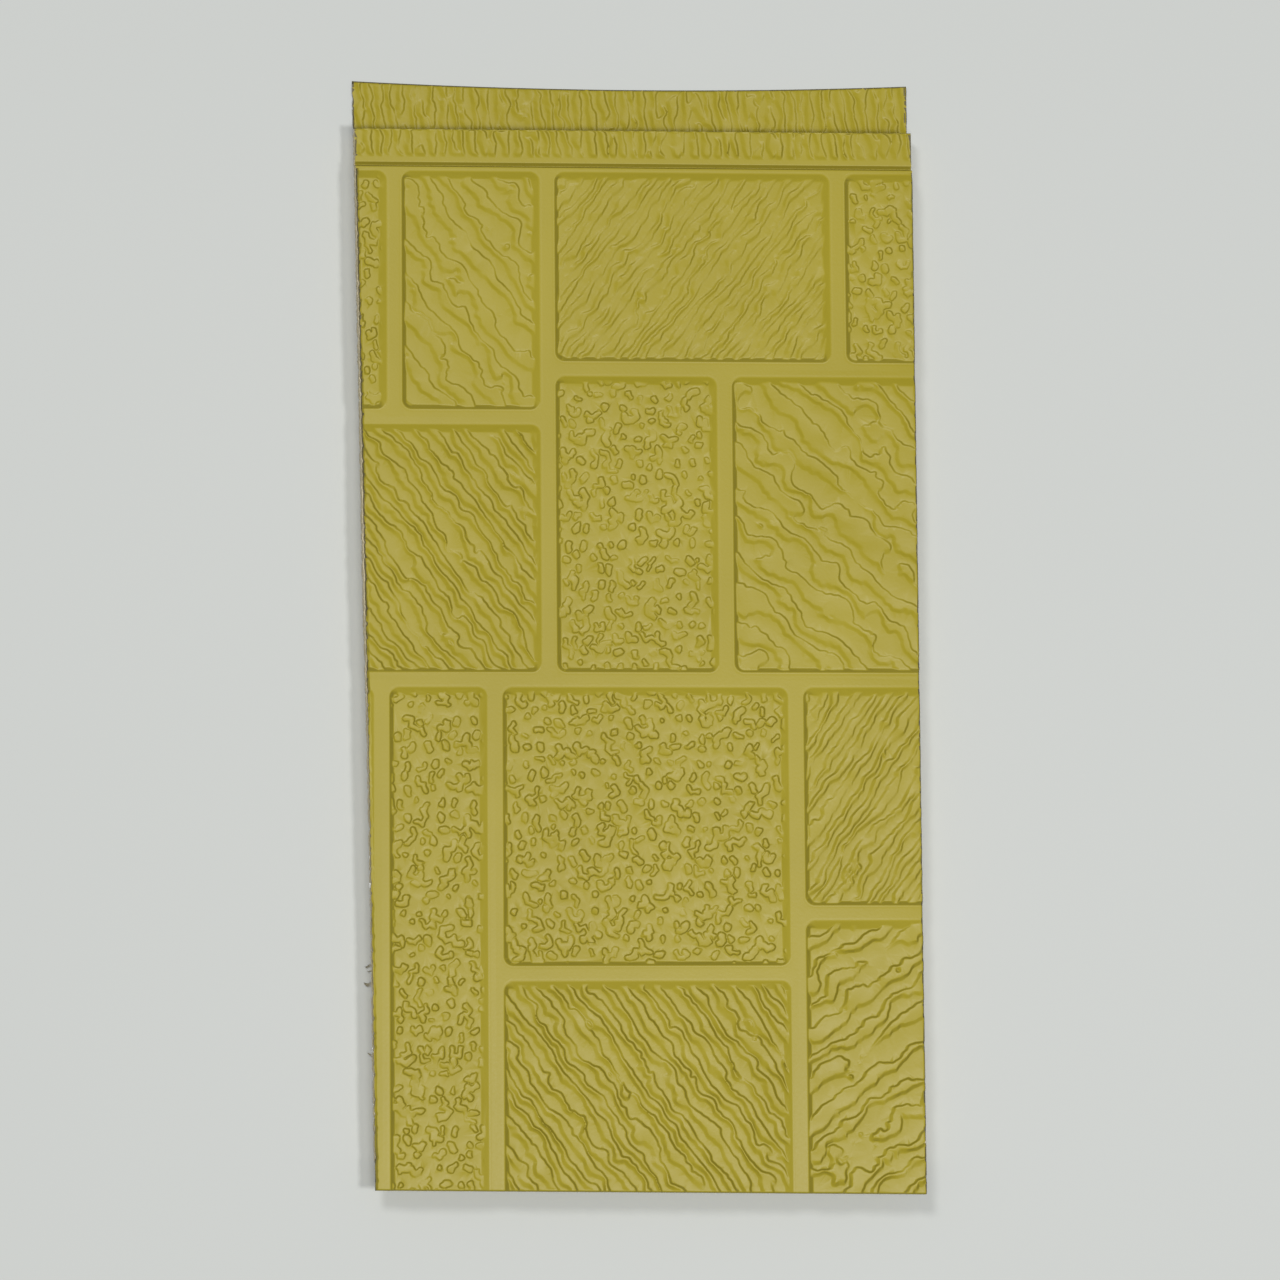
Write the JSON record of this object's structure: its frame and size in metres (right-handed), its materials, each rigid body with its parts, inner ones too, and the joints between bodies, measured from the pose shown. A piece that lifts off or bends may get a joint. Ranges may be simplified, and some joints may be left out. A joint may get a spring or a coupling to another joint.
{
  "type": "insulated wall panel",
  "caption": "Sawn sample of a foam-cored siding board: embossed stone-pattern steel face, tongue, nailing flange, foil back.",
  "frame": {"origin": "under the middle of the sample, on the plane of the foil back, which lies on the floor", "axes": "+Z out of the embossed face, +Y across the board towards the nailing flange, +X along the board towards the square sawn end"},
  "size_m": [0.209, 0.4162, 0.016],
  "materials": {
    "face_paint": "satin olive-mustard coil coating on embossed steel",
    "foam": "sawn rigid polyurethane foam, cream",
    "foil": "dull embossed aluminium foil on paper"
  },
  "bodies": {
    "root": {"face_sheet": "face_paint", "foam_core": "foam", "back_foil": "foil"}
  },
  "joints": []
}
